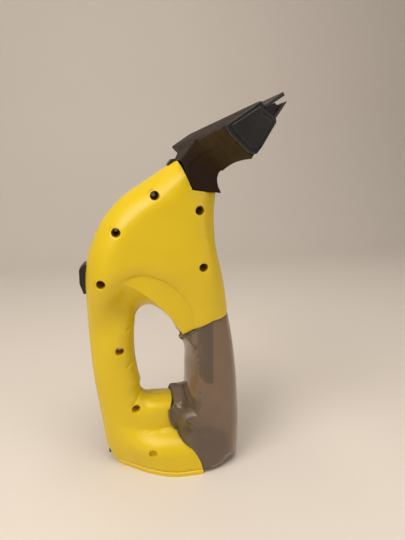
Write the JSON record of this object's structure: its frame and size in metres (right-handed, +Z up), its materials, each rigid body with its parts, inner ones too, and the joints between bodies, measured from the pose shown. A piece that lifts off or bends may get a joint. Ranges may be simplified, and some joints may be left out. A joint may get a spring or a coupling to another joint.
{
  "type": "cordless window vacuum",
  "caption": "Handheld cordless window vacuum with a loop handle, a wide two-lip suction nozzle and a removable dirty-water tank.",
  "frame": {"origin": "middle of the base's contact face, on the floor plane", "axes": "+Z up, +X forward towards the tank and the suction lips, +Y to the left along the nozzle"},
  "size_m": [0.145, 0.28, 0.3276],
  "materials": {
    "yellow_plastic": "moulded, satin gloss",
    "charcoal_plastic": "fine texture",
    "board_green": "lacquered circuit board",
    "clear_plastic": "clear lens",
    "cell_wrap": "shrink wrap",
    "nickel": "plated strip",
    "steel": "zinc plated",
    "magnet": "sintered",
    "brass": "sintered bush",
    "winding": "enamelled copper on laminations",
    "grey_plastic": "moulded",
    "tank_plastic": "smoky translucent moulding",
    "rubber": "smooth",
    "smoke_plastic": "deep smoked brown moulding",
    "black_plastic": "moulded, satin gloss"
  },
  "bodies": {
    "housing": {"right_shell": "yellow_plastic", "left_shell": "yellow_plastic", "housing_screws": "steel", "power_switch": "charcoal_plastic", "control_board": "board_green", "indicator_light": "clear_plastic", "charging_socket": "charcoal_plastic", "battery_cell": "cell_wrap", "battery_tabs": "nickel", "motor_can": "steel", "motor_end_cap": "charcoal_plastic", "motor_magnets": "magnet", "front_bearing": "brass", "rear_bearing": "brass", "fan_housing": "grey_plastic", "motor_plate": "grey_plastic", "air_duct": "grey_plastic", "return_duct": "grey_plastic", "neck_seal": "rubber", "latch_spring": "nickel"},
    "power_button": {"power_button": "charcoal_plastic"},
    "latch_button": {"latch_button": "charcoal_plastic"},
    "fan": {"motor_shaft": "steel", "armature": "winding", "impeller": "charcoal_plastic"},
    "tank": {"tank_shell": "tank_plastic", "tank_lid": "tank_plastic", "tank_seal": "rubber", "riser_pipe": "grey_plastic", "baffle_plate": "grey_plastic"},
    "tank_plug": {"tank_plug": "rubber"},
    "nozzle": {"nozzle_back_shell": "smoke_plastic", "nozzle_front_shell": "smoke_plastic", "blade_carrier": "black_plastic", "upper_lip": "rubber", "lower_lip": "rubber", "right_end_cap": "black_plastic", "left_end_cap": "black_plastic"}
  },
  "joints": [
    {"name": "power_button_press", "type": "slide", "parent": "housing", "child": "power_button", "axis": [1, 0, 0], "range_m": [0, 0.0015], "stiffness_N_per_m": 600, "springref_m": -0.0008},
    {"name": "latch_press", "type": "slide", "parent": "housing", "child": "latch_button", "axis": [0.7349, 0, -0.6782], "range_m": [0, 0.002], "stiffness_N_per_m": 500, "springref_m": -0.001, "deforming": ["latch_spring"]},
    {"name": "fan_spin", "type": "hinge", "parent": "housing", "child": "fan", "pos_m": [0.008, 0, 0.226], "axis": [0, 1, 0], "continuous": true},
    {"name": "nozzle_pull_off", "type": "slide", "parent": "housing", "child": "nozzle", "axis": [0.6782, 0, 0.7349], "range_m": [0, 0.06]},
    {"name": "tank_pull_off", "type": "slide", "parent": "housing", "child": "tank", "axis": [0.995, 0, 0.0995], "range_m": [0, 0.06]},
    {"name": "plug_pull_out", "type": "slide", "parent": "tank", "child": "tank_plug", "axis": [0, 1, 0], "range_m": [0, 0.02]}
  ]
}
